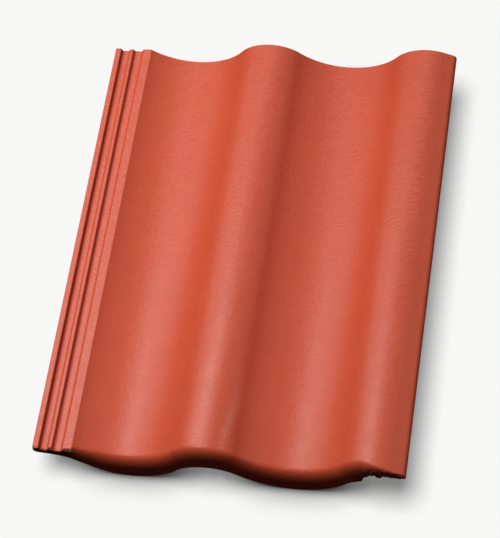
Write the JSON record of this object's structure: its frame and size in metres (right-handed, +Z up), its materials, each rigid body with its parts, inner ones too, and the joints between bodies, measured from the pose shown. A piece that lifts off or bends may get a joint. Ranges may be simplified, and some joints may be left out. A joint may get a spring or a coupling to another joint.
{
  "type": "roof pantile",
  "caption": "Wavy interlocking concrete roof pantile with rolls and pans, a ribbed underlock, an overlapping edge, a rounded foot nose and hanging nibs; sheds rain from a battened roof.",
  "frame": {"origin": "middle of the tile's outline, on the floor that its nibs and foot nose rest on", "axes": "+X across the course from the underlock edge to the overlock edge, +Y up the slope from the foot nose to the head, +Z up out of the weathered face"},
  "size_m": [0.3324, 0.42, 0.0615],
  "materials": {
    "coated_concrete": "brick red surface coat on concrete, matt with a fine grain"
  },
  "bodies": {
    "root": {"pantile": "coated_concrete"}
  },
  "joints": []
}
